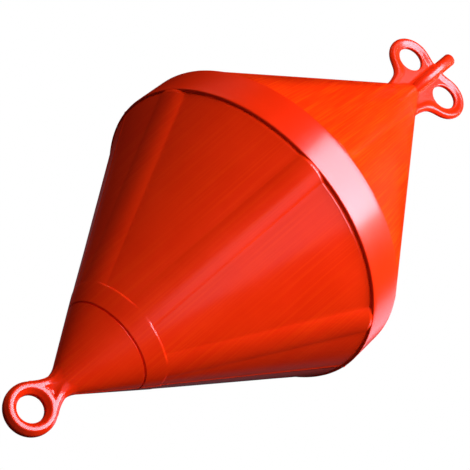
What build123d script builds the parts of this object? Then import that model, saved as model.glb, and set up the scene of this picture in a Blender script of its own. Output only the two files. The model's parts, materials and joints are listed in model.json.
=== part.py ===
from build123d import *
import os
from math import hypot, sqrt

# A two-coned mooring buoy, afloat. +Z runs up its axis to the pair of pick-up eyes, and the origin is
# on the axis at the waterline, which is the lower edge of the girth belt. All the eyes lie in the XZ plane.

# Girth belt
belt_diameter = 500.0
belt_height = 60.0
belt_edge = 1.5             # the belt's corners are broken by this much
belt_lip = 0.6              # how far the belt stands proud of the ribs

# The hull is a skin filled with foam. Its pieces are solid here, and meet face to face.
fit_clearance = 0.2         # gap round every foot and plug, and beside the tube

# Lower cone and nose
lower_depth = 281.0         # waterline to the nose joint
nose_joint_diameter = 146.0
nose_length = 91.0          # nose joint to the nose's cut end
nose_end_diameter = 31.0
groove_depth = 2.0          # groove round the nose joint, in the lower cone's edge

# Upper cone
upper_height = 430.0        # top of the belt to the cone's cut end
upper_end_diameter = 26.0

# Ribs, which run down both cones in line with each other
rib_count = 6
rib_first_azimuth = -90.0   # the first rib faces the front, -Y
rib_width = 26.0
rib_flank = 12.0            # width of each sloping side

# Sunk panels between the ribs: depth beside the belt, depth at the far end,
# distance from the far end of the cone, and length of the sloping ledge there
lower_panel_depth = 6.5
lower_panel_end_depth = 2.2
lower_panel_margin = 24.0
lower_panel_ledge = 3.2
upper_panel_depth = 3.5
upper_panel_end_depth = 1.5
upper_panel_margin = 75.0
upper_panel_ledge = 3.2

# Filler tube and its plug
tube_diameter = 22.0
tube_bore = 16.0
tube_reach = 124.0          # above the upper cone's cut end, where it stands
plug_length = 16.0
plug_sink = 2.0             # below the tube's rim

# Pick-up eyes, one each side of the tube
eye_bore = 45.0
eye_diameter = 83.0
eye_spacing = 87.0
eye_rise = 49.0             # above the upper cone's cut end
eye_bridge_rise = 35.5      # top edge between the two ears, above the eyes' centres
eye_bridge_round = 8.0
eye_neck_width = 112.0      # at the level of the eyes
eye_foot_width = 58.0
eye_foot_drop = 50.0        # foot of the neck, below the cone's cut end
eye_neck_round = 24.0
eye_foot_round = 14.0
foot_sink = 1.0             # rounded feet run out this far under the surface they stand on
eye_web = 8.0
eye_rim_width = 11.0
eye_rim_thickness = 13.0

# Mooring eye under the nose
ring_bore = 39.0
ring_land = 18.0            # length of the bore's straight wall
ring_face_inner = 46.0      # the ring's flat faces lie between these diameters
ring_face_outer = 66.0
ring_thickness = 23.0
ring_diameter = 74.0
ring_edge = 16.0            # length of the ring's outermost wall
ring_drop = 52.0            # ring's centre below the nose's cut end
ring_neck_width = 35.0
ring_neck_round = 20.0
ring_foot_round = 20.0
ring_foot_rise = 24.0       # how far the flanges climb the nose
ring_web = 11.0
ring_flange_width = 8.0
ring_flange_thickness = 19.0
ring_flange_bevel = 3.0

# Levels and radii that follow from those sizes
belt_radius = belt_diameter / 2
rib_radius = belt_radius - belt_lip
joint_z = -lower_depth
joint_radius = nose_joint_diameter / 2
nose_end_z = joint_z - nose_length
nose_end_radius = nose_end_diameter / 2
upper_end_z = belt_height + upper_height
upper_end_radius = upper_end_diameter / 2
tube_radius = tube_diameter / 2
tube_top_z = upper_end_z + tube_reach
eye_z = upper_end_z + eye_rise
eye_x = eye_spacing / 2
ring_z = nose_end_z - ring_drop
beyond = belt_radius        # cutters run this far past what they cut


def turned(*points):
    """Solid of revolution about Z from the (radius, z) corners of its half section."""
    return revolve(Plane.XZ * make_face(Polyline(*points, close=True)), Axis.Z)


def along(start, end, z):
    """Radius at height z on the straight line between two (radius, z) points."""
    share = (z - start[1]) / (end[1] - start[1])
    return start[0] + share * (end[0] - start[0])


def ribs(start, end, depth):
    """Straight ribs with sloping sides, laid down a cone from its start to its end and rooted well inside it."""
    run_r = end[0] - start[0]
    run_z = end[1] - start[1]
    length = hypot(run_r, run_z)
    side = 1 if run_z < 0 else -1
    seat = Plane(origin=(0, -start[0], start[1]), x_dir=(side, 0, 0), z_dir=(0, -run_r, run_z))
    half = rib_width / 2
    foot = half + rib_flank
    section = make_face(Polyline((-foot, -foot), (foot, -foot), (foot, -depth), (half, 0), (half, depth),
                                 (-half, depth), (-half, 0), (-foot, -depth), close=True))
    bar = extrude(seat * Pos(0, 0, -depth) * section, length + 2 * depth, dir=seat.z_dir)
    turn = rib_first_azimuth + 90
    return [Rot(0, 0, turn + index * 360 / rib_count) * bar for index in range(rib_count)]


def sunk_panels(start, end, depth, end_depth, margin, ledge):
    """Cutter for the panels: a band sunk into the cone, less the ribs that stand between them."""
    way = 1 if end[1] > start[1] else -1
    ledge_z = end[1] - way * margin
    floor_z = ledge_z - way * ledge
    floor_r = along(start, end, floor_z) - end_depth
    band = turned((start[0] - depth, start[1] - way), (start[0] - depth, start[1]), (floor_r, floor_z),
                  (along(start, end, ledge_z), ledge_z), (start[0] + beyond, ledge_z),
                  (start[0] + beyond, start[1] - way))
    return band - ribs(start, end, depth)


def girth_belt():
    return turned((0, 0), (belt_radius - belt_edge, 0), (belt_radius, belt_edge),
                  (belt_radius, belt_height - belt_edge), (belt_radius - belt_edge, belt_height), (0, belt_height))


lower_start = (rib_radius, 0)
lower_end = (joint_radius, joint_z)
upper_start = (rib_radius, belt_height)
upper_end = (upper_end_radius, upper_end_z)


def lower_cone():
    """Ribbed cone under the belt, whose bevelled lower edge makes the groove round the nose joint."""
    rim_z = joint_z + groove_depth
    body = turned((0, joint_z), (joint_radius - groove_depth, joint_z),
                  (along(lower_start, lower_end, rim_z), rim_z), lower_start, (0, 0))
    return body - sunk_panels(lower_start, lower_end, lower_panel_depth, lower_panel_end_depth,
                              lower_panel_margin, lower_panel_ledge)


def upper_cone():
    """Ribbed cone on the belt, whose cut end carries the tube."""
    body = turned(upper_start, upper_end, (0, upper_end_z), (0, belt_height))
    return body - sunk_panels(upper_start, upper_end, upper_panel_depth, upper_panel_end_depth,
                              upper_panel_margin, upper_panel_ledge)


def nose_outline(grow=0.0):
    """Top and tip of the nose's side, as (radius, z), or of a side that lies further out."""
    return (joint_radius + grow, joint_z), (nose_end_radius + grow, nose_end_z - grow)


def nose_cone():
    top, tip = nose_outline()
    return turned((0, joint_z), top, tip, (0, nose_end_z))


def filler_tube():
    return turned((tube_bore / 2, upper_end_z), (tube_radius, upper_end_z), (tube_radius, tube_top_z),
                  (tube_bore / 2, tube_top_z))


def filler_plug():
    top_z = tube_top_z - plug_sink
    plug_radius = tube_bore / 2 - fit_clearance
    return turned((0, top_z - plug_length), (plug_radius, top_z - plug_length), (plug_radius, top_z), (0, top_z))


def slab(outline, thickness):
    """A flat outline of (x, z) made into a plate that is centred on the XZ plane."""
    return extrude(Plane.XZ * outline, thickness / 2, both=True)


def bevelled(plate, bevel):
    """A plate with the outer edges of both its faces bevelled."""
    faces = plate.faces().filter_by(Axis.Y).sort_by(Axis.Y)
    return chamfer(faces[0].outer_wire().edges() + faces[-1].outer_wire().edges(), bevel)


def cross_bore(x, z, diameter):
    """A round hole through a plate, along Y."""
    return Plane.XZ * Pos(x, z) * Cylinder(diameter / 2, 2 * beyond)


def foot_skirt(start, end):
    """Side view of a cone, a little inside it, for a foot's rounded corners to run out on."""
    return make_face(Polyline((-start[0] + foot_sink, start[1]), (start[0] - foot_sink, start[1]),
                              (end[0] - foot_sink, end[1]), (foot_sink - end[0], end[1]), close=True))


def pickup_eyes():
    """Both ears of the head, cut apart by the tube that stands between them."""
    foot_z = upper_end_z - eye_foot_drop
    skirt_z = foot_z - eye_foot_round
    bridge_z = eye_z + eye_bridge_rise
    skirt_start = (along(upper_start, upper_end, skirt_z), skirt_z)
    outline = foot_skirt(skirt_start, upper_end)
    outline += make_face(Polyline((-eye_foot_width / 2, foot_z), (eye_foot_width / 2, foot_z),
                                  (eye_neck_width / 2, eye_z), (-eye_neck_width / 2, eye_z), close=True))
    outline += make_face(Polyline((-eye_x, eye_z), (eye_x, eye_z), (eye_x, bridge_z), (-eye_x, bridge_z),
                                  close=True))
    outline += [Pos(side * eye_x, eye_z) * Circle(eye_diameter / 2) for side in (-1, 1)]
    outline = fillet(outline.vertices().group_by(Axis.Y)[-1], eye_bridge_round)
    outline = fillet(outline.vertices().group_by(Axis.Y)[2], eye_neck_round)
    outline = fillet(outline.vertices().group_by(Axis.Y)[1], eye_foot_round)
    plate = slab(outline, eye_web) + slab(outline - offset(outline, -eye_rim_width), eye_rim_thickness)
    plate -= turned((0, skirt_z - beyond), (along(upper_start, upper_end, skirt_z - beyond) + fit_clearance,
                                            skirt_z - beyond),
                    (upper_end_radius + fit_clearance, upper_end_z), (0, upper_end_z))
    plate -= turned((0, upper_end_z), (tube_radius + fit_clearance, upper_end_z),
                    (tube_radius + fit_clearance, tube_top_z), (0, tube_top_z))
    plate -= [cross_bore(side * eye_x, eye_z, eye_bore) for side in (-1, 1)]
    return plate.solids().sort_by(Axis.X)


def mooring_eye():
    """Thick ring under the nose, with a webbed neck whose two flanges spread up the nose."""
    ring_radius = ring_diameter / 2
    half_neck = ring_neck_width / 2
    top, tip = nose_outline()
    flare_z = nose_end_z + ring_foot_rise
    outline = foot_skirt((along(top, tip, flare_z), flare_z), tip)
    outline += make_face(Polyline((-half_neck, ring_z), (half_neck, ring_z), (half_neck, flare_z),
                                  (-half_neck, flare_z), close=True))
    outline += Pos(0, ring_z) * Circle(ring_radius)
    outline = fillet(outline.vertices().group_by(Axis.Y)[-3], ring_neck_round)
    outline = fillet(outline.vertices().group_by(Axis.Y)[-2], ring_foot_round)

    # The neck starts where its rounded corners leave the ring
    reach = ring_radius + ring_neck_round
    rise = sqrt(reach ** 2 - (half_neck + ring_neck_round) ** 2) * ring_radius / reach
    below = make_face(Polyline((-beyond, ring_z + rise), (beyond, ring_z + rise), (beyond, ring_z - beyond),
                               (-beyond, ring_z - beyond), close=True))
    neck = outline - below
    flanges = slab(neck - offset(outline, -ring_flange_width), ring_flange_thickness)
    eye = slab(neck, ring_web) + bevelled(flanges, ring_flange_bevel)

    steps = ((ring_bore, ring_land), (ring_face_inner, ring_thickness), (ring_face_outer, ring_thickness),
             (ring_diameter, ring_edge))
    front = [(diameter / 2, thickness / 2) for diameter, thickness in steps]
    back = [(radius, -half) for radius, half in reversed(front)]
    section = make_face(Polyline(*front, *back, close=True))
    eye += revolve(Pos(0, 0, ring_z) * section, Axis((0, 0, ring_z), (0, 1, 0)))
    eye -= cross_bore(0, ring_z, ring_bore)
    top, tip = nose_outline(fit_clearance)
    return eye - turned((0, top[1]), top, tip, (0, tip[1]))


nodes = {
    "girth_belt": girth_belt(),
    "lower_cone": lower_cone(),
    "upper_cone": upper_cone(),
    "nose_cone": nose_cone(),
    "filler_tube": filler_tube(),
    "filler_plug": filler_plug(),
}
nodes["mooring_eye"] = mooring_eye()
nodes["pickup_eye_left"], nodes["pickup_eye_right"] = pickup_eyes()

os.makedirs("parts", exist_ok=True)
for name, solid in nodes.items():
    export_step(solid, f"parts/{name}.step")
    print(f"{name}: {len(solid.solids())} solid, {solid.volume / 1000:.1f} cm3")
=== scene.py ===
# %% [markdown]
# A two-coned mooring buoy, afloat.
# The real buoy is a moulded plastic hull: a lower cone, an upper cone and a plain belt where they meet.
# A small nose and a thick eye hang below, and two flat eyes stand beside a stub of tube on top.
# The CAD model gives the places and the main sizes, so this lesson starts by loading it as a fixed frame.
# It then builds a finer skin over each CAD piece, and gives each skin its moulded plastic.

# %% Load the frame
import json
from math import cos, pi, radians, sin, tan

import bmesh
import bpy
import numpy as np
from mathutils import Matrix, Vector


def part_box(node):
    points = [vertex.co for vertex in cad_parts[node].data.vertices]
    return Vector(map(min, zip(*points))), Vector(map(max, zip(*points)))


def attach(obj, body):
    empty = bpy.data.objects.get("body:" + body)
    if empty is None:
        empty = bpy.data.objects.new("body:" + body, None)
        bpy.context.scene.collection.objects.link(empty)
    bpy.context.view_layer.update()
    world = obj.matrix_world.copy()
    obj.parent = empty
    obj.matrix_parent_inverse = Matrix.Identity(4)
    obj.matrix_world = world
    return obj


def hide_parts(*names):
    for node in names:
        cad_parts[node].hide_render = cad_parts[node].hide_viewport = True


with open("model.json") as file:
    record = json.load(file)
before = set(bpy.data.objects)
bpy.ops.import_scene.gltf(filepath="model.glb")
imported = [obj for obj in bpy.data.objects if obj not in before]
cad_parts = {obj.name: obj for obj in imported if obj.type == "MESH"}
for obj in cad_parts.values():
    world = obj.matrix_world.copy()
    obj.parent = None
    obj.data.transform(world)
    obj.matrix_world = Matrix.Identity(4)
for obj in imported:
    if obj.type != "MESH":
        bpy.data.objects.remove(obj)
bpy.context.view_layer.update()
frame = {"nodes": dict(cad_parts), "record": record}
scene = bpy.context.scene
scene.view_settings.view_transform = "Standard"
print("frame:", sorted(frame["nodes"]))

# %% [markdown]
# The sizes that the skins have to keep are read back from the CAD pieces' boxes and from the record's mounts.
# They could be typed in again, but then a change of the CAD model would leave the skins behind.
# A size that no box shows, such as a radius inside a piece, is named in the cell that first needs it.

# %% Read the sizes
mm = 0.001
mounts = {mount["name"]: mount for mount in frame["record"]["mounts"]}
belt_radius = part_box("girth_belt")[1].x
belt_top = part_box("girth_belt")[1].z
joint_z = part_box("lower_cone")[0].z
nose_end_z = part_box("nose_cone")[0].z
upper_end_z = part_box("upper_cone")[1].z
tube_low, tube_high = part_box("filler_tube")
plug_low, plug_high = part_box("filler_plug")
print(f"belt {belt_radius:.3f} m in radius, from the nose's end at {nose_end_z:.3f} to {upper_end_z:.3f} m")

# %% [markdown]
# The photograph looks up at the buoy from below its front.
# The camera is rolled over as well, by a little more than half a right angle.
# A camera can be turned by Euler angles, but a roll about the line of sight is easier to read as vectors.
# So the line of sight comes from an azimuth and an elevation, and the roll turns the two vectors across it.

# %% Camera
aim = Vector((-3.9, -4.0, 5.3)) * mm
camera_distance = 1.944
sight_azimuth = radians(-1.7)
sight_elevation = radians(36.25)
roll = radians(50.24)
sensor_width_mm = 36
focal_length_mm = 100.07

sight = Vector((cos(sight_elevation) * sin(sight_azimuth), cos(sight_elevation) * cos(sight_azimuth),
                sin(sight_elevation)))
level_right = Vector((cos(sight_azimuth), -sin(sight_azimuth), 0))
level_up = level_right.cross(sight)
right = level_right * cos(roll) + level_up * sin(roll)
up = level_up * cos(roll) - level_right * sin(roll)

camera_data = bpy.data.cameras.new("camera")
camera_data.sensor_width = sensor_width_mm
camera_data.lens = focal_length_mm
camera = bpy.data.objects.new("camera", camera_data)
scene.collection.objects.link(camera)
camera.matrix_world = Matrix.LocRotScale(aim - sight * camera_distance,
                                         Matrix((right, up, -sight)).transposed(), None)
scene.camera = camera
print("camera at", [round(c, 3) for c in camera.location])

# %% [markdown]
# Shader nodes are easier to read as sums than as boxes and links.
# A Wire wraps one output socket, and its operators add the Math nodes.
# A Finish is a material in the making: its node method adds any node, sets it up and links its inputs.

# %% Node helpers
class Wire:
    def __init__(self, finish, socket):
        self.finish = finish
        self.socket = socket

    def math(self, operation, *values):
        return self.finish.wire("ShaderNodeMath", {"operation": operation}, dict(enumerate(values)))

    def __add__(self, other):
        return self.math("ADD", self, other)

    def __sub__(self, other):
        return self.math("SUBTRACT", self, other)

    def __rsub__(self, other):
        return self.math("SUBTRACT", other, self)

    def __mul__(self, other):
        return self.math("MULTIPLY", self, other)

    __radd__ = __add__
    __rmul__ = __mul__


class Finish:
    def __init__(self, owner):
        owner.use_nodes = True
        self.owner = owner
        self.tree = owner.node_tree
        self.tree.nodes.clear()

    def node(self, kind, settings=None, inputs=None):
        made = self.tree.nodes.new(kind)
        for name, value in (settings or {}).items():
            setattr(made, name, value)
        for key, value in (inputs or {}).items():
            if isinstance(value, Wire):
                self.tree.links.new(value.socket, made.inputs[key])
            else:
                made.inputs[key].default_value = value
        return made

    def wire(self, kind, settings=None, inputs=None, output=0):
        return Wire(self, self.node(kind, settings, inputs).outputs[output])

    def noise(self, place, scale, detail, roughness):
        return self.wire("ShaderNodeTexNoise", None,
                         {"Vector": place, "Scale": scale, "Detail": detail, "Roughness": roughness})

    def ramp(self, value, low, high):
        return self.wire("ShaderNodeMapRange", {"interpolation_type": "SMOOTHSTEP"},
                         {"Value": value, "From Min": low, "From Max": high})

    def mix(self, share, first, second):
        """Mixes two colours. Several sockets of a Mix node have the same name, so they go by number."""
        return self.wire("ShaderNodeMix", {"data_type": "RGBA"}, {0: share, 6: first, 7: second}, output=2)


print("node helpers ready")

# %% [markdown]
# The buoy stands against plain white.
# The world shows white to the camera and to reflections, but sheds much less light than that on the buoy.
# The Light Path node tells those rays apart.
# So the background can be white while the shaded side stays deep red.

# %% World
white = (1, 1, 1, 1)
shade_light = 0.08
world = bpy.data.worlds.new("studio")
scene.world = world
sky = Finish(world)
path = sky.node("ShaderNodeLightPath")
seen = sum((Wire(sky, path.outputs[ray]) for ray in ("Is Glossy Ray", "Is Transmission Ray")),
           start=Wire(sky, path.outputs["Is Camera Ray"]))
strength = sky.ramp(seen, 0, 1) * (1 - shade_light) + shade_light
background = sky.wire("ShaderNodeBackground", None, {"Color": white, "Strength": strength})
sky.node("ShaderNodeOutputWorld", None, {"Surface": background})
print("world sheds", shade_light)

# %% [markdown]
# The floor lies just under the camera, so it shows only from other sides.
# A pale floor would throw light back up the lower cone, which the photograph doesn't show.
# So it is pale to the eye, with a little glow that only the camera sees.
# It is dark for the light that it sends back.

# %% Floor
floor_drop = 20 * mm
floor_z = camera.location.z - floor_drop
floor_half = 8.0
floor_corners = [(-floor_half, -floor_half), (floor_half, -floor_half),
                 (floor_half, floor_half), (-floor_half, floor_half)]
floor_mesh = bpy.data.meshes.new("floor")
floor_mesh.from_pydata([(x, y, floor_z) for x, y in floor_corners], [], [(0, 1, 2, 3)])
floor = bpy.data.objects.new("floor", floor_mesh)
scene.collection.objects.link(floor)

pale_grey = (0.85, 0.85, 0.85, 1)
dark_grey = (0.06, 0.06, 0.06, 1)
glow_share = 0.6
paper = Finish(bpy.data.materials.new("floor_paper"))
path = paper.node("ShaderNodeLightPath")
back_to_buoy = Wire(paper, path.outputs["Is Diffuse Ray"])
to_camera = Wire(paper, path.outputs["Is Camera Ray"])
pale = paper.wire("ShaderNodeBsdfDiffuse", None, {"Color": pale_grey})
dim = paper.wire("ShaderNodeBsdfDiffuse", None, {"Color": dark_grey})
glow = paper.wire("ShaderNodeEmission", None, {"Color": white, "Strength": 1.0})
lit = paper.wire("ShaderNodeMixShader", None, {0: back_to_buoy, 1: pale, 2: dim})
looks = paper.wire("ShaderNodeMixShader", None, {0: to_camera * glow_share, 1: lit, 2: glow})
paper.node("ShaderNodeOutputMaterial", None, {"Surface": looks})
floor_mesh.materials.append(paper.owner)
print(f"floor at {floor_z:.3f} m")

# %% [markdown]
# Glossy plastic turns pale wherever it mirrors a white room, and deep red where it mirrors a dark one.
# In the photograph the plastic is deep red almost everywhere, so the buoy hangs in a tent of black cloth.
# The tent is a plain box that ends just above the floor, and it shows in reflections alone.
# The camera looks through it, and it shades nothing.

# %% Black tent
tent_low = np.array([-1.6, -4.0, floor_z + 5 * mm])
tent_high = np.array([3.2, 3.0, 3.2])
tent_shape = bmesh.new()
bmesh.ops.create_cube(tent_shape, size=1.0, matrix=Matrix.LocRotScale(
    Vector((tent_low + tent_high) / 2), None, Vector(tent_high - tent_low)))
tent_mesh = bpy.data.meshes.new("black_tent")
tent_shape.to_mesh(tent_mesh)
tent_shape.free()
tent = bpy.data.objects.new("black_tent", tent_mesh)
scene.collection.objects.link(tent)
tent.visible_camera = False
tent.visible_diffuse = False
tent.visible_transmission = False
tent.visible_shadow = False

cloth_black = (0.003, 0.003, 0.003, 1)
cloth = Finish(bpy.data.materials.new("tent_cloth"))
cloth.node("ShaderNodeOutputMaterial", None,
           {"Surface": cloth.wire("ShaderNodeBsdfDiffuse", None, {"Color": cloth_black})})
tent_mesh.materials.append(cloth.owner)
print("tent of", [round(float(side), 2) for side in tent_high - tent_low], "m")

# %% [markdown]
# The upper cone is much brighter than the lower one, and brightest on the right.
# So a top lamp and a key stand high on the right, and a third lamp stands almost level in front.
# A weak one keeps the left side from going black.
# The belt shines because it mirrors a large window.
# A lamp bright enough for that would burn out the cones.
# So those four lamps light the buoy, and four others only show in reflections.
# They are the window, a pale card low in front, a card behind on the right that edges the belt's end,
# and a faint one right behind, which greys the hull where it turns away.
# These four are a little blue, as daylight is beside warm lamps.

# %% Lamps
def aimed(azimuth, elevation):
    """Direction away from the buoy, from an azimuth and an elevation in degrees."""
    turn, rise = radians(azimuth), radians(elevation)
    return Vector((cos(rise) * cos(turn), cos(rise) * sin(turn), sin(rise)))


def soft_lamp(name, direction, distance, width, height, power):
    data = bpy.data.lights.new(name, "AREA")
    data.shape = "RECTANGLE"
    data.size = width
    data.size_y = height
    data.energy = power
    lamp = bpy.data.objects.new(name, data)
    scene.collection.objects.link(lamp)
    lamp.location = direction * distance
    lamp.rotation_euler = direction.to_track_quat("Z", "Y").to_euler()
    lamp.visible_camera = False
    return lamp


lamp_distance = 2.2
lamp_size = 1.0
daylight = (0.76, 0.80, 1.0)
colour_lamps = [soft_lamp("top", aimed(-10, 65), lamp_distance, lamp_size, lamp_size, 60),
                soft_lamp("key", aimed(-45, 35), lamp_distance, lamp_size, lamp_size, 55),
                soft_lamp("front", aimed(-80, 5), lamp_distance, lamp_size, lamp_size, 46),
                soft_lamp("left", aimed(-172, 25), lamp_distance, lamp_size, lamp_size, 16)]
gloss_lamps = [soft_lamp("window", aimed(-71.5, 27), distance=2.6, width=2.2, height=1.9, power=215),
               soft_lamp("pale_card", aimed(-66, -24.5), distance=1.7, width=0.85, height=0.7, power=1.65),
               soft_lamp("edge_card", aimed(38, 36), distance=3.0, width=1.4, height=1.05, power=6.5),
               soft_lamp("back_card", aimed(90, 12), distance=2.7, width=5.0, height=1.2, power=1.5)]
for lamp in colour_lamps:
    lamp.visible_glossy = False
for lamp in gloss_lamps:
    lamp.visible_diffuse = False
    lamp.data.color = daylight
print("lamps:", [lamp.name for lamp in colour_lamps + gloss_lamps])

# %% [markdown]
# The whole buoy is one orange-red plastic, coloured all through.
# Seen close, the pigment is slightly cloudy, and the skin has a fine grain from the mould.
# It also carries fine marks, left by the tool that cut the mould in straight passes.
# The mould opens front and back, so the passes lie in planes across the eyes' plane: each mark keeps its x.
# A picture could hold such marks, but noise that is stretched along the passes gives them at any size.

# %% Tool marks
mark_scale = 540
mark_detail = 3.0
noise_roughness = 0.6
along_pass = 0.012


def tool_marks(finish, place):
    """Noise that changes fast from pass to pass and slowly along one, and differs in the mould's halves."""
    parts = finish.node("ShaderNodeSeparateXYZ", None, {"Vector": place})
    x, y, z = (Wire(finish, socket) for socket in parts.outputs)
    stretched = finish.wire("ShaderNodeCombineXYZ", None,
                            {"X": x, "Y": y.math("SIGN", y), "Z": z * along_pass})
    return finish.noise(stretched, mark_scale, mark_detail, noise_roughness)


print("tool marks about", round(1 / mark_scale / mm, 1), "mm apart")

# %% [markdown]
# The cones show the marks most, both as pale streaks and as low ridges; the pale streaks are partly the
# marks' own colour and partly painted sheen.
# The belt and the eyes are smooth, so there the marks only touch the roughness.
# The photograph shows hardly any gloss on the upper cone, so its plastic mirrors less than the rest.

# %% Moulded plastic
deep_orange = (0.74, 0.020, 0.0010, 1)
clear_orange = (0.82, 0.025, 0.0014, 1)
# A paler orange for the streaks: partly the tool marks' own colour, partly painted sheen.
streak_and_sheen_orange = (0.90, 0.056, 0.0010, 1)
cloud_scale = 7
cloud_detail = 4.0
cloud_range = (0.3, 0.7)
grain_scale = 700
grain_detail = 2.0
streak_and_sheen_range = (0.45, 0.63)
plastic_roughness = 0.24
cloud_roughness = 0.05
mark_roughness = 0.04
plastic_ior = 1.5
full_shine = 0.5
faint_shine = 0.15


def moulded_plastic(name, mark_depth, mark_and_sheen_colour, grain_depth, shine):
    finish = Finish(bpy.data.materials.new(name))
    place = finish.wire("ShaderNodeTexCoord", None, None, "Object")
    cloud = finish.ramp(finish.noise(place, cloud_scale, cloud_detail, noise_roughness), *cloud_range)
    grain = finish.noise(place, grain_scale, grain_detail, noise_roughness)
    marks = tool_marks(finish, place)
    plain = finish.mix(cloud, deep_orange, clear_orange)
    # The pale streaks are painted sheen as well as tool marks.
    streaks_and_sheen = finish.ramp(marks, *streak_and_sheen_range) * mark_and_sheen_colour
    colour = finish.mix(streaks_and_sheen, plain, streak_and_sheen_orange)
    height = marks * mark_depth + grain * grain_depth
    normal = finish.wire("ShaderNodeBump", None, {"Strength": 1.0, "Distance": 1.0, "Height": height})
    roughness = plastic_roughness + (cloud - 0.5) * cloud_roughness + (marks - 0.5) * mark_roughness
    surface = finish.wire("ShaderNodeBsdfPrincipled", None,
                          {"Base Color": colour, "Roughness": roughness, "Normal": normal,
                           "IOR": plastic_ior, "Specular IOR Level": shine})
    finish.node("ShaderNodeOutputMaterial", None, {"Surface": surface})
    return finish.owner


hull_plastic = moulded_plastic("hull_plastic", mark_depth=0.04 * mm, mark_and_sheen_colour=0.25,
                               grain_depth=0.010 * mm, shine=full_shine)
# The upper cone gets much stronger pale streaks: painted sheen on the brightly lit top, as well as tool
# marks.
upper_plastic = moulded_plastic("upper_plastic", mark_depth=0.03 * mm, mark_and_sheen_colour=0.65,
                                grain_depth=0.010 * mm, shine=faint_shine)
belt_plastic = moulded_plastic("belt_plastic", mark_depth=0.0, mark_and_sheen_colour=0.0,
                               grain_depth=0.008 * mm, shine=full_shine)
eye_plastic = moulded_plastic("eye_plastic", mark_depth=0.0, mark_and_sheen_colour=0.0,
                              grain_depth=0.006 * mm, shine=full_shine)
print("plastics:", [plastic.name for plastic in (hull_plastic, upper_plastic, belt_plastic, eye_plastic)])

# %% [markdown]
# Every skin ends up as a mesh that rides on the buoy and stands for one CAD piece.
# One short function does that last step for all of them.

# %% Finishing a piece
def finish_piece(name, points, faces, node, slot, material):
    mesh = bpy.data.meshes.new(name)
    mesh.from_pydata(np.asarray(points).tolist(), [], [tuple(face) for face in faces])
    shape = bmesh.new()
    shape.from_mesh(mesh)
    bmesh.ops.recalc_face_normals(shape, faces=shape.faces)
    shape.to_mesh(mesh)
    shape.free()
    mesh.shade_smooth()
    mesh.materials.append(material)
    piece = bpy.data.objects.new(name, mesh)
    scene.collection.objects.link(piece)
    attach(piece, "root")
    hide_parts(node)
    print(f"{name}: {len(mesh.polygons)} faces")


# %% [markdown]
# The hull is round, but its ribs keep their width while the cones narrow.
# A plain lathe can't do that, and a subdivided cage would round the crisp corners beside the ribs.
# So each cone is a grid of points: rows follow heights, and columns follow the ribs' edges.
# A column beside a rib keeps its distance from the rib's middle.
# A column on a panel keeps its share of the panel.
# Near a cone's point the ribs would run into each other, so there all the columns are evenly spaced.

# %% Columns that follow the ribs
rib_count = 6
panel_angle = 2 * pi / rib_count
half_sector = panel_angle / 2
rib_half = 25 * mm
rib_columns = 18
rib_edge_crowding = 0.8
panel_columns = 14
seam_half = 1.2 * mm


def half_sector_angles(radius):
    """Angles from the middle of a rib to the middle of the next panel, at one radius."""
    steps = rib_columns + panel_columns
    across = np.linspace(0, 1, rib_columns + 1) ** rib_edge_crowding * rib_half
    even = half_sector * np.arange(rib_columns + 1) / steps
    beside_rib = np.minimum(np.arcsin(np.minimum(across / radius, 1)), even)
    seam = min(seam_half / radius, half_sector / steps)
    on_panel = np.linspace(beside_rib[-1], half_sector - seam, panel_columns + 1)[1:]
    return np.concatenate([beside_rib, on_panel, [half_sector - seam / 2, half_sector]])


def ring_angles(radius):
    half = half_sector_angles(radius)
    sector = np.concatenate([half, panel_angle - half[-2:0:-1]])
    starts = -pi / 2 + panel_angle * np.arange(rib_count)
    return (starts[:, None] + sector[None, :]).ravel()


print("columns in a ring:", len(ring_angles(belt_radius)))

# %% [markdown]
# On the sunk panels the skin lies deeper than the ribs, most of all beside the belt.
# A rib is a low rounded ridge with a crisp corner on each side, so its section is nearly a parabola.
# The mould closed in the plane of the eyes, which left a fine raised line down the middle of two panels.
# Those two panels are shallower than the other four, which lets the mould's halves draw off them.

# %% Ribs, panels and the mould's line
seam_height = 0.8 * mm
side_panel_share = 0.55
rib_power = 2.2


def rib_offsets(angles):
    """Angle from the middle of the nearest rib."""
    turn = (angles + pi / 2) % panel_angle
    return np.minimum(turn, panel_angle - turn)


def seam_ridge(angles, radius):
    """Height of the mould's closing line, which runs down the skin where it crosses the eyes' plane."""
    across = np.abs(np.sin(angles)) * radius
    return seam_height * np.clip(1 - across / seam_half, 0, 1)


def sunk(angles, radius, depth):
    across = np.sin(rib_offsets(angles)) * radius
    on_side = np.abs(np.sin(angles)) < sin(half_sector)
    return depth * np.where(on_side, side_panel_share, 1) * np.minimum(across / rib_half, 1) ** rib_power


print(f"ribs {2 * rib_half / mm:.0f} mm wide, mould's line {seam_height / mm:.1f} mm high")

# %% [markdown]
# Rows of points become a skin when each point is joined to the next in its row and to the row above.
# A cone closes with a fan of triangles at each end, and a ring closes by joining its last row to its first.

# %% Rows into a skin
def ring_points(across, angles, z):
    """One row of the grid: points round the axis at one height."""
    return np.stack([across * np.cos(angles), across * np.sin(angles), np.full_like(angles, z)], axis=1)


def skin_points(heights, radius_at, depth_at):
    rows = []
    for z in heights:
        radius = radius_at(z)
        angles = ring_angles(radius)
        across = radius - sunk(angles, radius, depth_at(z)) + seam_ridge(angles, radius)
        rows.append(ring_points(across, angles, z))
    return rows


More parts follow.
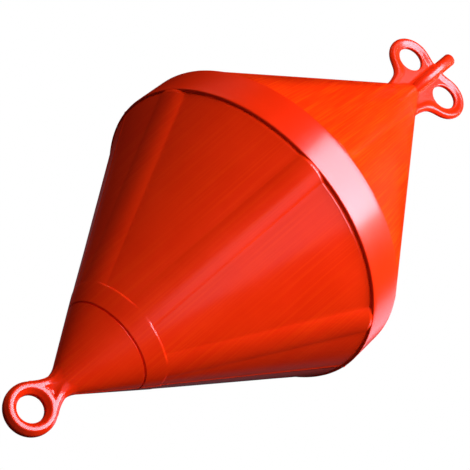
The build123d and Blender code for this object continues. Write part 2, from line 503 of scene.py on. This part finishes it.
def skin_mesh(rows, ring=False):
    """Joins rows of points into a closed skin."""
    count = len(rows[0])
    points = np.concatenate(rows)
    here = np.arange(count)
    beside = (here + 1) % count
    last = len(rows) if ring else len(rows) - 1
    faces = []
    for row in range(last):
        low = row * count
        high = (row + 1) % len(rows) * count
        faces.append(np.stack([low + here, low + beside, high + beside, high + here], axis=1))
    faces = np.concatenate(faces).tolist()
    if not ring:
        points = np.concatenate([points, [rows[0].mean(axis=0), rows[-1].mean(axis=0)]])
        first_end = len(points) - 2
        last_end = len(points) - 1
        high = (len(rows) - 1) * count
        faces += [(first_end, b, a) for a, b in zip(here.tolist(), beside.tolist())]
        faces += [(last_end, high + a, high + b) for a, b in zip(here.tolist(), beside.tolist())]
    return points, faces


def line(start, end):
    """A radius or a depth that changes evenly with height, from (size, height) to (size, height)."""
    return lambda z: start[0] + (z - start[1]) * (end[0] - start[0]) / (end[1] - start[1])


def ramp_up(share):
    """Rounded at its start and crisp at its end, as a moulded ledge is."""
    return np.clip(share, 0, 1) ** 2


print("hull helpers ready")

# %% [markdown]
# The lower cone takes most of the picture.
# Its panels are deepest under the belt.
# They end in a small sloping ledge above the nose, which catches the light.
# Rows lie close together in the groove and on the ledge, where the shape changes fast.

# %% Lower cone
belt_lip = 0.6 * mm
joint_radius = 73 * mm
groove_depth = 4.5 * mm
groove_half = 1.3 * mm
groove_rows = np.array([0, 0.3, 0.6, 0.9, 1.2, 1.3, 1.5, 2.2]) * mm
past_groove = 5 * mm
collar_length = 24 * mm
collar_rows = 8
ledge_z = joint_z + collar_length
before_ledge = 1 * mm
ledge_length = 3.0 * mm
ledge_rows = 13
ledge_crease = 0.4 * mm
past_ledge = 8 * mm
lower_panel_rows = 66
depth_at_ledge = 2.2 * mm
depth_under_belt = 5.4 * mm
lower_side = line((belt_radius - belt_lip, 0), (joint_radius, joint_z))
lower_panel = line((depth_at_ledge, ledge_z), (depth_under_belt, 0))


def lower_depth(z):
    return lower_panel(z) * ramp_up((z - ledge_z) / ledge_length)


def groove(z):
    return groove_depth * max(0, 1 - abs(z - joint_z) / groove_half)


lower_heights = np.concatenate([
    joint_z + groove_rows,
    np.linspace(joint_z + past_groove, ledge_z - before_ledge, collar_rows),
    np.linspace(ledge_z, ledge_z + ledge_length, ledge_rows),
    [ledge_z + ledge_length + ledge_crease],
    np.linspace(ledge_z + past_ledge, 0, lower_panel_rows)])
lower_rows = skin_points(lower_heights, lambda z: lower_side(z) - groove(z), lower_depth)
finish_piece("lower_cone_skin", *skin_mesh(lower_rows), "lower_cone", "hull_skin", hull_plastic)

# %% [markdown]
# The upper cone is longer and its panels are shallower.
# They narrow between the ribs and end on a ledge below the eyes.
# The cone runs on until it is as thin as the tube, so that the tube seems to grow from its point.

# %% Upper cone
upper_end_radius = 13 * mm
tip_length = 3.4 * mm
upper_tip_z = upper_end_z + tip_length
upper_collar_length = 75 * mm
upper_ledge_z = upper_end_z - upper_collar_length
depth_over_belt = 3.5 * mm
depth_at_upper_ledge = 1.5 * mm
upper_panel_rows = 84
past_upper_ledge = 3 * mm
upper_top_rows = 14
upper_side = line((belt_radius - belt_lip, belt_top), (upper_end_radius, upper_end_z))
upper_panel = line((depth_over_belt, belt_top), (depth_at_upper_ledge, upper_ledge_z))


def upper_depth(z):
    return upper_panel(z) * ramp_up((upper_ledge_z - z) / ledge_length)


upper_heights = np.concatenate([
    np.linspace(belt_top, upper_ledge_z - past_ledge, upper_panel_rows),
    [upper_ledge_z - ledge_length - ledge_crease],
    np.linspace(upper_ledge_z - ledge_length, upper_ledge_z, ledge_rows),
    np.linspace(upper_ledge_z + past_upper_ledge, upper_tip_z, upper_top_rows)])
upper_rows = skin_points(upper_heights, upper_side, upper_depth)
finish_piece("upper_cone_skin", *skin_mesh(upper_rows), "upper_cone", "hull_skin", upper_plastic)

# %% [markdown]
# The nose closes the hull below. A fine groove sets it off from the lower cone, and it has no ribs.
# It could be turned as a plain cone.
# The same grid keeps its groove and the mould's line in step with those of the lower cone.

# %% Nose
nose_end_radius = 15.5 * mm
nose_plain_rows = 30
nose_side = line((joint_radius, joint_z), (nose_end_radius, nose_end_z))
nose_heights = np.concatenate([
    np.linspace(nose_end_z, joint_z - past_groove, nose_plain_rows),
    joint_z - groove_rows[::-1]])
nose_rows = skin_points(nose_heights, lambda z: nose_side(z) - groove(z), lambda z: 0)
finish_piece("nose_skin", *skin_mesh(nose_rows), "nose_cone", "hull_skin", hull_plastic)

# %% [markdown]
# The belt is a plain band, with edges rounded by the mould.
# Its section is a closed loop, so the grid joins its last row to its first and makes a ring.

# %% Girth belt
belt_depth = 20 * mm
belt_round = 2.2 * mm
round_steps = 6
belt_face_rows = 8


def corner(radius, z, start_angle):
    """Points round one corner of the belt's section."""
    turns = np.linspace(start_angle, start_angle + pi / 2, round_steps)
    return [(radius + belt_round * cos(turn), z + belt_round * sin(turn)) for turn in turns]


belt_section = [(belt_radius - belt_depth, 0)]
belt_section += corner(belt_radius - belt_round, belt_round, -pi / 2)
belt_face = np.linspace(belt_round, belt_top - belt_round, belt_face_rows)
belt_section += [(belt_radius, z) for z in belt_face[1:-1]]
belt_section += corner(belt_radius - belt_round, belt_top - belt_round, 0)
belt_section += [(belt_radius - belt_depth, belt_top)]
belt_angles = ring_angles(belt_radius)
belt_rows = []
for radius, z in belt_section:
    outside = radius > belt_radius - belt_round
    across = radius + (seam_ridge(belt_angles, radius) if outside else 0)
    belt_rows.append(ring_points(across, belt_angles, z))
finish_piece("girth_belt_skin", *skin_mesh(belt_rows, ring=True), "girth_belt", "hull_skin", belt_plastic)

# %% [markdown]
# The eyes flow into the hull with soft moulded corners, which are hard to cut from plates and rings.
# A distance field gives them easily.
# Each simple form says how far away it is, as a number that is negative inside.
# A smooth minimum of two such numbers melts the forms together, and a smooth maximum rounds an edge off.
# The fields work in millimetres, on a grid of points round each eye.

# %% Melting forms together
def melt(first, second, reach):
    """Smooth minimum: the two forms join with a rounded corner about as wide as reach."""
    near = np.maximum(reach - np.abs(first - second), 0) / reach
    return np.minimum(first, second) - near * near * reach / 4


def shave(first, second, reach):
    """Smooth maximum: only what lies inside both forms stays, with a rounded edge."""
    return -melt(-first, -second, reach)


def field_grid(low, high, step):
    axes = [np.arange(a, b + step, step) for a, b in zip(low, high)]
    return np.meshgrid(*axes, indexing="ij")


print("a corner melted over 4 mm swells by", -float(melt(0.0, 0.0, 4.0)), "mm")

# %% [markdown]
# The skin of an eye is where its field is zero. Blender's voxel remesh could find it, but only from a mesh.
# This short routine finds it from the field itself: it puts one point in each cell that the skin crosses.
# Where the field changes sign along a grid edge, the four cells round that edge give one face.

# %% Skin of a field
CELL_CORNERS = [(i, j, k) for i in (0, 1) for j in (0, 1) for k in (0, 1)]
CELL_EDGES = [(a, b) for a in CELL_CORNERS for b in CELL_CORNERS if sum(b) - sum(a) == 1
              and all(p <= q for p, q in zip(a, b))]


def cell_points(values, low, step):
    """One point in each cell that the skin crosses, and the number of each cell's point."""
    shape = np.array(values.shape) - 1

    def corner_values(offset):
        return values[tuple(slice(o, o + n) for o, n in zip(offset, shape))]

    total = np.zeros((*shape, 3))
    crossings = np.zeros(shape)
    for start, end in CELL_EDGES:
        first, second = corner_values(start), corner_values(end)
        crossed = (first < 0) != (second < 0)
        share = np.where(crossed, first / np.where(crossed, first - second, 1), 0)
        for axis in range(3):
            total[..., axis] += np.where(crossed, start[axis] + share * (end[axis] - start[axis]), 0)
        crossings += crossed
    used = crossings > 0
    number = np.full(shape, -1)
    number[used] = np.arange(used.sum())
    points = (np.argwhere(used) + total[used] / crossings[used][:, None]) * step + np.array(low)
    return points, number


def cell_faces(values, number):
    """One face round each grid edge on which the field changes sign."""
    shape = np.array(number.shape)
    faces = []
    for axis in range(3):
        one, two = [a for a in range(3) if a != axis]
        ahead = np.take(values, range(1, values.shape[axis]), axis)
        behind = np.take(values, range(values.shape[axis] - 1), axis)
        edges = np.argwhere((behind < 0) != (ahead < 0))
        inner = np.all((edges[:, [one, two]] > 0) & (edges[:, [one, two]] < shape[[one, two]]), axis=1)
        edges = edges[inner]
        around = []
        for step_one, step_two in ((-1, -1), (0, -1), (0, 0), (-1, 0)):
            cell = edges.copy()
            cell[:, one] += step_one
            cell[:, two] += step_two
            around.append(number[tuple(cell.T)])
        faces.append(np.stack(around, axis=1))
    return np.concatenate(faces).tolist()


def field_skin(values, low, step):
    """Points and four-sided faces of the surface where the field is zero."""
    points, number = cell_points(values, low, step)
    return points, cell_faces(values, number)


print("a cell has", len(CELL_EDGES), "edges")

# %% [markdown]
# Each pick-up eye is a flat ear with a rounded rim along its outline, and no rim round its hole.
# The rim is a rod that follows the outline, and the web is a sheet between.
# Both come from the distance to the outline.
# The outline is a round lobe, a neck that narrows downwards, a bridge to the tube and a foot on the cone.

# %% Form of a pick-up eye
eye = mounts["pickup_eye_right"]
eye_x, eye_z = (eye["pos_m"][axis] / mm for axis in (0, 2))
eye_hole = eye["dims"]["r_mm"]
cone_end = upper_end_z / mm
eye_lobe = 41.5
bridge_rise = 35.5
neck_half_at_eye = 56.0
neck_half_at_foot = 29.0
neck_length = 50
neck_foot_z = cone_end - neck_length
ear_below_foot = 12
lobe_reach = 18
bridge_reach = 10
foot_reach = 16.0
foot_inset = 1
rim_rod = 6.2
web_half = 3.8
web_reach = 5
hole_round = 2.5


def upper_cone_field(across, z):
    """Distance outside the cone's straight side, at a distance across its axis."""
    slope = (belt_radius - belt_lip - upper_end_radius) / (upper_end_z - belt_top)
    return (across - upper_end_radius / mm - slope * (cone_end - z)) / np.hypot(1, slope)


def pickup_eye_field(x, y, z):
    """Field of the right-hand ear."""
    lobe = np.hypot(x - eye_x, z - eye_z) - eye_lobe
    spread = (neck_half_at_eye - neck_half_at_foot) / (eye_z - neck_foot_z)
    neck_half = neck_half_at_foot + spread * (z - neck_foot_z)
    neck = np.maximum((x - neck_half) / np.hypot(1, spread), z - eye_z)
    bridge = np.maximum.reduce([x - eye_x, z - eye_z - bridge_rise, eye_z - eye_lobe / 2 - z])
    foot = np.maximum(upper_cone_field(x, z) + foot_inset, z - cone_end)
    outline = melt(melt(melt(lobe, neck, lobe_reach), bridge, bridge_reach), foot, foot_reach)
    rim = np.hypot(outline + rim_rod, y) - rim_rod
    web = np.maximum(np.abs(y) - web_half, outline + rim_rod)
    ear = np.maximum(melt(rim, web, web_reach), neck_foot_z - ear_below_foot - z)
    return shave(ear, eye_hole - np.hypot(x - eye_x, z - eye_z), hole_round)


print(f"pick-up eyes {eye_x:.1f} mm from the axis, with holes of {2 * eye_hole:.0f} mm")

# %% [markdown]
# The ear melts into the cone and the tube.
# Those two are shrunk a little here, so that the ear's edge runs out under their skins.
# The left ear is the right one with its x turned round.

# %% Pick-up eyes
tube_radius = tube_high.x
tuck = 0.08
margin_depth = 2.5
field_step = 0.9
grid_room = 3
ear_corner_reach = 4
ear_start_x = 3
ear_grid_start_x = 1.0
ear_grid_half = 14.0
ear_grid_drop = 20


def upper_host_field(x, y, z):
    """Field of what the ears grow from: the top of the upper cone and the tube."""
    across = np.hypot(x, y)
    cone = np.maximum(upper_cone_field(across, z), z - upper_tip_z / mm)
    return np.minimum(cone, across - tube_radius / mm) + tuck


def grown_on(form, host, corner_reach):
    """A form melted into its host, keeping only a thin margin of the host's surface round its foot."""
    return np.maximum.reduce([melt(form, host, corner_reach), form - corner_reach, -host - margin_depth])


def pickup_eye(side, node):
    low = np.array([ear_grid_start_x, -ear_grid_half, neck_foot_z - ear_grid_drop])
    high = np.array([eye_x + eye_lobe + grid_room, ear_grid_half, eye_z + eye_lobe + grid_room])
    x, y, z = field_grid(low, high, field_step)
    field = grown_on(pickup_eye_field(x, y, z), upper_host_field(x, y, z), ear_corner_reach)
    points, faces = field_skin(np.maximum(field, ear_start_x - x), low, field_step)
    points = points * (side * mm, mm, mm)
    finish_piece(node + "_skin", points, faces, node, "eye_moulding", eye_plastic)


pickup_eye(-1, "pickup_eye_left")
pickup_eye(1, "pickup_eye_right")

# %% [markdown]
# The mooring eye is a thick ring with a narrow flat face on each side, which mirrors the window.
# Two fins with the same section leave the ring and run up to the sides of the nose.
# A thinner web fills the space between them.
# So the section is written once, as a field of the distance inside an outline.
# It then serves for the ring and for the fins.

# %% Section of the mooring eye
ring = mounts["mooring_eye"]
ring_z = ring["pos_m"][2] / mm
ring_hole = ring["dims"]["r_mm"]
ring_outer = 37.0
ring_half = 11.5
face_inner = 25.8
face_outer = 32.4
rim_half = 4.0
ring_round = 1.2


def slope_field(radial, deep, start, end):
    """Distance outside a sloping side of the section, which runs from start to end as (radius, depth)."""
    run, rise = end[0] - start[0], end[1] - start[1]
    return ((deep - start[1]) * run - (radial - start[0]) * rise) / np.hypot(run, rise)


def section_field(radial, deep, foot, foot_half):
    """The section: flat faces, a slope out to the rim, and a slope in to a foot of some radius and depth."""
    inward = slope_field(radial, deep, (foot, foot_half), (face_inner, ring_half))
    outward = slope_field(radial, deep, (face_outer, ring_half), (ring_outer, rim_half))
    field = deep - ring_half
    for side in (radial - ring_outer, inward, outward):
        field = shave(field, side, ring_round)
    return field


print(f"mooring eye {2 * ring_outer:.0f} mm across and {2 * ring_half:.0f} mm thick")

# %% [markdown]
# The fins' outline is a parabola that leaves the ring along its tangent.
# It narrows to a waist under the nose.
# The nose's own point runs down between the fins and fades out on the web.

# %% Mooring eye
ring_land_half = 4.0
waist_z = -367.0
meet_angle = radians(36.5)
neck_web_half = 5.0
fin_foot = 22.0
fin_reach = 2
nose_end = nose_end_z / mm
neck_inside_nose = 10
tuck_run = 6
nose_corner_reach = 8
eye_grid_half_x = 44.0
eye_grid_half_y = 22.0
eye_grid_rise = 36


def mooring_eye_field(x, y, z):
    radial = np.hypot(x, z - ring_z)
    deep = np.abs(y)
    hoop = section_field(radial, deep, ring_hole, ring_land_half)
    meet_z = ring_z + ring_outer * sin(meet_angle)
    flare = tan(meet_angle) / (2 * (waist_z - meet_z))
    waist_half = ring_outer * cos(meet_angle) - flare * (waist_z - meet_z) ** 2
    below_waist = np.minimum(z - waist_z, 0)
    beside = (np.abs(x) - waist_half - flare * below_waist ** 2) / np.hypot(1, 2 * flare * below_waist)
    fin = section_field(ring_outer + beside, deep, fin_foot, neck_web_half)
    web = np.maximum(deep - neck_web_half, beside)
    neck = np.maximum.reduce([melt(fin, web, fin_reach), meet_z - z, z - nose_end - neck_inside_nose])
    return shave(np.minimum(hoop, neck), ring_hole - radial, ring_round)


def nose_host_field(x, y, z):
    """Field of the nose's cone, run on to its point, and shrunk a little to lie under the nose's skin."""
    slope = (joint_radius - nose_end_radius) / (joint_z - nose_end_z)
    nose_radius = nose_end_radius / mm + slope * (z - nose_end)
    shrunk = tuck * np.clip((z - nose_end) / tuck_run, 0, 1)
    return (np.hypot(x, y) - nose_radius) / np.hypot(1, slope) + shrunk


low = np.array([-eye_grid_half_x, -eye_grid_half_y, ring_z - ring_outer - grid_room])
high = np.array([eye_grid_half_x, eye_grid_half_y, nose_end + eye_grid_rise])
x, y, z = field_grid(low, high, field_step)
field = grown_on(mooring_eye_field(x, y, z), nose_host_field(x, y, z), nose_corner_reach)
points, faces = field_skin(field, low, field_step)
finish_piece("mooring_eye_skin", points * mm, faces, "mooring_eye", "eye_moulding", eye_plastic)

# %% [markdown]
# A stub of tube stands on the axis between the ears, and a plug closes it just below its rim.
# Both are turned shapes, so the same grid serves, with plain rows round a profile.

# %% Tube and plug
turned_columns = 64
corner_steps = 7


def turned(name, profile, node, slot, material):
    angles = np.linspace(0, 2 * pi, turned_columns, endpoint=False)
    rows = [ring_points(radius, angles, z) for radius, z in profile]
    finish_piece(name, *skin_mesh(rows), node, slot, material)


def rounded(radius, z, size, start, end):
    """Points round a corner whose centre is (radius, z), from one angle to another, in degrees."""
    turns = np.radians(np.linspace(start, end, corner_steps))
    return [(radius + size * cos(turn), z + size * sin(turn)) for turn in turns]


plug_clearance = 0.2 * mm
tube_bore = plug_high.x + plug_clearance
tube_edge = 0.6 * mm
tube_end_length = 20 * mm
bore_past_plug = 6 * mm
tube_profile = [(tube_radius, tube_low.z), (tube_radius, tube_high.z - tube_end_length)]
tube_profile += rounded(tube_radius - tube_edge, tube_high.z - tube_edge, tube_edge, 0, 90)
tube_profile += rounded(tube_bore + tube_edge, tube_high.z - tube_edge, tube_edge, 90, 180)
tube_profile += [(tube_bore, plug_high.z - bore_past_plug)]
turned("filler_tube_skin", tube_profile, "filler_tube", "tube_moulding", eye_plastic)

plug_round = 1.2 * mm
dish_depth = 1.5 * mm
dish_z = plug_high.z - dish_depth
dish_edge, dish_floor, dish_middle = (plug_high.x * share for share in (0.55, 0.5, 0.1))
plug_profile = [(plug_high.x, plug_low.z)]
plug_profile += rounded(plug_high.x - plug_round, plug_high.z - plug_round, plug_round, 0, 90)
plug_profile += [(dish_edge, plug_high.z), (dish_floor, dish_z), (dish_middle, dish_z)]
turned("filler_plug_skin", plug_profile, "filler_plug", "plug_moulding", eye_plastic)
